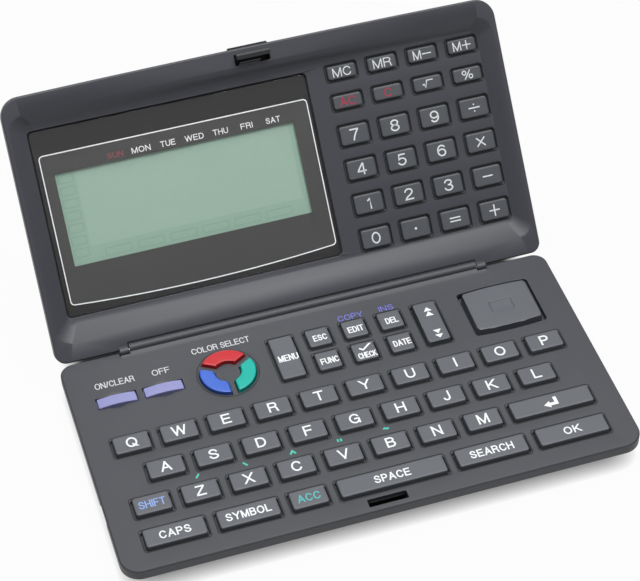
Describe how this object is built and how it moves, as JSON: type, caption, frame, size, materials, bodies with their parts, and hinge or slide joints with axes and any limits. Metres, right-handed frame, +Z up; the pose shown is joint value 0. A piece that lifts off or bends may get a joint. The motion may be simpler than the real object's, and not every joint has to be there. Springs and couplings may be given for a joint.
{
  "type": "pocket electronic organizer",
  "caption": "Folding pocket organizer: keyboard half with raised keys, barrel hinge along the back, and a latching lid with a display window and a calculator keypad.",
  "frame": {"origin": "middle of the flat underside of the keyboard half", "axes": "+X to the user's right along the hinge, +Y away from the user, +Z up out of the keys"},
  "size_m": [0.141, 0.1258, 0.0665],
  "materials": {
    "upper_case_plastic": "fine satin moulding, dark silver grey",
    "lower_case_plastic": "fine satin moulding, dark grey",
    "lid_inner_plastic": "fine satin moulding, dark silver grey",
    "lid_cover_plastic": "fine satin moulding, dark silver grey",
    "key_plastic": "satin grey key tops with printed legends",
    "lid_key_plastic": "satin dark grey key tops with printed legends",
    "red_key_plastic": "smooth red",
    "blue_key_plastic": "smooth blue",
    "green_key_plastic": "smooth green",
    "power_key_plastic": "smooth lavender",
    "window_plastic": "clear pane with a dark printed border",
    "display_cell": "grey-green liquid crystal glass",
    "circuit_board": "green solder mask",
    "chip_plastic": "moulded black",
    "rubber_sheet": "soft grey key sheet",
    "cell_steel": "nickel plated coin cells",
    "spring_steel": "bright drawn steel",
    "screw_steel": "dark zinc plate",
    "flat_cable": "amber film",
    "port_plastic": "moulded black",
    "latch_plastic": "moulded near black"
  },
  "bodies": {
    "base": {"base_upper_case": "upper_case_plastic", "base_lower_case": "lower_case_plastic", "battery_cover": "lower_case_plastic", "base_screws": "screw_steel", "base_circuit_board": "circuit_board", "board_chips": "chip_plastic", "base_key_sheet": "rubber_sheet", "main_batteries": "cell_steel", "backup_battery": "cell_steel", "battery_contacts": "spring_steel", "buzzer": "spring_steel", "data_port": "port_plastic", "hinge_pins": "spring_steel", "lid_lift_spring": "spring_steel", "ribbon_cable": "flat_cable"},
    "lid": {"lid_inner_case": "lid_inner_plastic", "lid_outer_cover": "lid_cover_plastic", "display_window": "window_plastic", "display_glass": "display_cell", "display_flex": "flat_cable", "lid_circuit_board": "circuit_board", "lid_key_sheet": "rubber_sheet", "ribbon_tail": "flat_cable", "latch_spring": "spring_steel"},
    "latch": {"latch": "latch_plastic"},
    "menu_key": {"menu_key": "key_plastic"},
    "escape_key": {"escape_key": "key_plastic"},
    "function_key": {"function_key": "key_plastic"},
    "edit_key": {"edit_key": "key_plastic"},
    "check_key": {"check_key": "key_plastic"},
    "delete_key": {"delete_key": "key_plastic"},
    "date_key": {"date_key": "key_plastic"},
    "shift_key": {"shift_key": "key_plastic"},
    "accent_key": {"accent_key": "key_plastic"},
    "enter_key": {"enter_key": "key_plastic"},
    "caps_key": {"caps_key": "key_plastic"},
    "symbol_key": {"symbol_key": "key_plastic"},
    "space_key": {"space_key": "key_plastic"},
    "search_key": {"search_key": "key_plastic"},
    "ok_key": {"ok_key": "key_plastic"},
    "letter_keys_top_row": {"letter_keys_top_row": "key_plastic"},
    "letter_keys_middle_row": {"letter_keys_middle_row": "key_plastic"},
    "letter_keys_bottom_row": {"letter_keys_bottom_row": "key_plastic"},
    "red_key": {"red_key": "red_key_plastic"},
    "blue_key": {"blue_key": "blue_key_plastic"},
    "green_key": {"green_key": "green_key_plastic"},
    "on_key": {"on_key": "power_key_plastic"},
    "off_key": {"off_key": "power_key_plastic"},
    "page_rocker": {"page_rocker": "key_plastic"},
    "cursor_pad": {"cursor_pad": "key_plastic"},
    "cursor_pad_pivot": {"cursor_pad_pivot": "port_plastic"},
    "memory_keys": {"memory_keys": "lid_key_plastic"},
    "clear_keys": {"clear_keys": "lid_key_plastic"},
    "number_keys_789": {"number_keys_789": "lid_key_plastic"},
    "number_keys_456": {"number_keys_456": "lid_key_plastic"},
    "number_keys_123": {"number_keys_123": "lid_key_plastic"},
    "number_keys_0": {"number_keys_0": "lid_key_plastic"}
  },
  "joints": [
    {"name": "lid_hinge", "type": "hinge", "parent": "base", "child": "lid", "pos_m": [0, 0.03685, 0.00965], "axis": [1, 0, 0], "range_deg": [-49.9, 130.1]},
    {"name": "latch_slide", "type": "slide", "parent": "lid", "child": "latch", "axis": [0, -0.6441, -0.7649], "range_m": [0, 0.0008], "stiffness_N_per_m": 800, "springref_m": -0.0004},
    {"name": "menu_key_press", "type": "slide", "parent": "base", "child": "menu_key", "axis": [0, 0, -1], "range_m": [0, 0.0006], "stiffness_N_per_m": 800, "springref_m": -0.0005},
    {"name": "escape_key_press", "type": "slide", "parent": "base", "child": "escape_key", "axis": [0, 0, -1], "range_m": [0, 0.0006], "stiffness_N_per_m": 800, "springref_m": -0.0005},
    {"name": "function_key_press", "type": "slide", "parent": "base", "child": "function_key", "axis": [0, 0, -1], "range_m": [0, 0.0006], "stiffness_N_per_m": 800, "springref_m": -0.0005},
    {"name": "edit_key_press", "type": "slide", "parent": "base", "child": "edit_key", "axis": [0, 0, -1], "range_m": [0, 0.0006], "stiffness_N_per_m": 800, "springref_m": -0.0005},
    {"name": "check_key_press", "type": "slide", "parent": "base", "child": "check_key", "axis": [0, 0, -1], "range_m": [0, 0.0006], "stiffness_N_per_m": 800, "springref_m": -0.0005},
    {"name": "delete_key_press", "type": "slide", "parent": "base", "child": "delete_key", "axis": [0, 0, -1], "range_m": [0, 0.0006], "stiffness_N_per_m": 800, "springref_m": -0.0005},
    {"name": "date_key_press", "type": "slide", "parent": "base", "child": "date_key", "axis": [0, 0, -1], "range_m": [0, 0.0006], "stiffness_N_per_m": 800, "springref_m": -0.0005},
    {"name": "shift_key_press", "type": "slide", "parent": "base", "child": "shift_key", "axis": [0, 0, -1], "range_m": [0, 0.0006], "stiffness_N_per_m": 800, "springref_m": -0.0005},
    {"name": "accent_key_press", "type": "slide", "parent": "base", "child": "accent_key", "axis": [0, 0, -1], "range_m": [0, 0.0006], "stiffness_N_per_m": 800, "springref_m": -0.0005},
    {"name": "enter_key_press", "type": "slide", "parent": "base", "child": "enter_key", "axis": [0, 0, -1], "range_m": [0, 0.0006], "stiffness_N_per_m": 800, "springref_m": -0.0005},
    {"name": "caps_key_press", "type": "slide", "parent": "base", "child": "caps_key", "axis": [0, 0, -1], "range_m": [0, 0.0006], "stiffness_N_per_m": 800, "springref_m": -0.0005},
    {"name": "symbol_key_press", "type": "slide", "parent": "base", "child": "symbol_key", "axis": [0, 0, -1], "range_m": [0, 0.0006], "stiffness_N_per_m": 800, "springref_m": -0.0005},
    {"name": "space_key_press", "type": "slide", "parent": "base", "child": "space_key", "axis": [0, 0, -1], "range_m": [0, 0.0006], "stiffness_N_per_m": 800, "springref_m": -0.0005},
    {"name": "search_key_press", "type": "slide", "parent": "base", "child": "search_key", "axis": [0, 0, -1], "range_m": [0, 0.0006], "stiffness_N_per_m": 800, "springref_m": -0.0005},
    {"name": "ok_key_press", "type": "slide", "parent": "base", "child": "ok_key", "axis": [0, 0, -1], "range_m": [0, 0.0006], "stiffness_N_per_m": 800, "springref_m": -0.0005},
    {"name": "letter_keys_top_row_press", "type": "slide", "parent": "base", "child": "letter_keys_top_row", "axis": [0, 0, -1], "range_m": [0, 0.0006], "stiffness_N_per_m": 800, "springref_m": -0.0005},
    {"name": "letter_keys_middle_row_press", "type": "slide", "parent": "base", "child": "letter_keys_middle_row", "axis": [0, 0, -1], "range_m": [0, 0.0006], "stiffness_N_per_m": 800, "springref_m": -0.0005},
    {"name": "letter_keys_bottom_row_press", "type": "slide", "parent": "base", "child": "letter_keys_bottom_row", "axis": [0, 0, -1], "range_m": [0, 0.0006], "stiffness_N_per_m": 800, "springref_m": -0.0005},
    {"name": "red_key_press", "type": "slide", "parent": "base", "child": "red_key", "axis": [0, 0, -1], "range_m": [0, 0.0006], "stiffness_N_per_m": 800, "springref_m": -0.0005},
    {"name": "blue_key_press", "type": "slide", "parent": "base", "child": "blue_key", "axis": [0, 0, -1], "range_m": [0, 0.0006], "stiffness_N_per_m": 800, "springref_m": -0.0005},
    {"name": "green_key_press", "type": "slide", "parent": "base", "child": "green_key", "axis": [0, 0, -1], "range_m": [0, 0.0006], "stiffness_N_per_m": 800, "springref_m": -0.0005},
    {"name": "on_key_press", "type": "slide", "parent": "base", "child": "on_key", "axis": [0, 0, -1], "range_m": [0, 0.0006], "stiffness_N_per_m": 800, "springref_m": -0.0005},
    {"name": "off_key_press", "type": "slide", "parent": "base", "child": "off_key", "axis": [0, 0, -1], "range_m": [0, 0.0006], "stiffness_N_per_m": 800, "springref_m": -0.0005},
    {"name": "memory_keys_press", "type": "slide", "parent": "lid", "child": "memory_keys", "axis": [0, 0.7649, -0.6441], "range_m": [0, 0.0004], "stiffness_N_per_m": 800, "springref_m": -0.0005},
    {"name": "clear_keys_press", "type": "slide", "parent": "lid", "child": "clear_keys", "axis": [0, 0.7649, -0.6441], "range_m": [0, 0.0004], "stiffness_N_per_m": 800, "springref_m": -0.0005},
    {"name": "number_keys_789_press", "type": "slide", "parent": "lid", "child": "number_keys_789", "axis": [0, 0.7649, -0.6441], "range_m": [0, 0.0004], "stiffness_N_per_m": 800, "springref_m": -0.0005},
    {"name": "number_keys_456_press", "type": "slide", "parent": "lid", "child": "number_keys_456", "axis": [0, 0.7649, -0.6441], "range_m": [0, 0.0004], "stiffness_N_per_m": 800, "springref_m": -0.0005},
    {"name": "number_keys_123_press", "type": "slide", "parent": "lid", "child": "number_keys_123", "axis": [0, 0.7649, -0.6441], "range_m": [0, 0.0004], "stiffness_N_per_m": 800, "springref_m": -0.0005},
    {"name": "number_keys_0_press", "type": "slide", "parent": "lid", "child": "number_keys_0", "axis": [0, 0.7649, -0.6441], "range_m": [0, 0.0004], "stiffness_N_per_m": 800, "springref_m": -0.0005},
    {"name": "page_rocker_tilt", "type": "hinge", "parent": "base", "child": "page_rocker", "pos_m": [0.0312, 0.02045, 0.00435], "axis": [1, 0, 0], "range_deg": [-3, 3], "stiffness_Nm_per_rad": 0.05},
    {"name": "cursor_pad_up_down", "type": "hinge", "parent": "base", "child": "cursor_pad_pivot", "pos_m": [0.05185, 0.02035, 0.0045], "axis": [1, 0, 0], "range_deg": [-2.5, 2.5], "stiffness_Nm_per_rad": 0.05},
    {"name": "cursor_pad_left_right", "type": "hinge", "parent": "cursor_pad_pivot", "child": "cursor_pad", "pos_m": [0.05185, 0.02035, 0.0045], "axis": [0, 1, 0], "range_deg": [-2.5, 2.5], "stiffness_Nm_per_rad": 0.05}
  ]
}
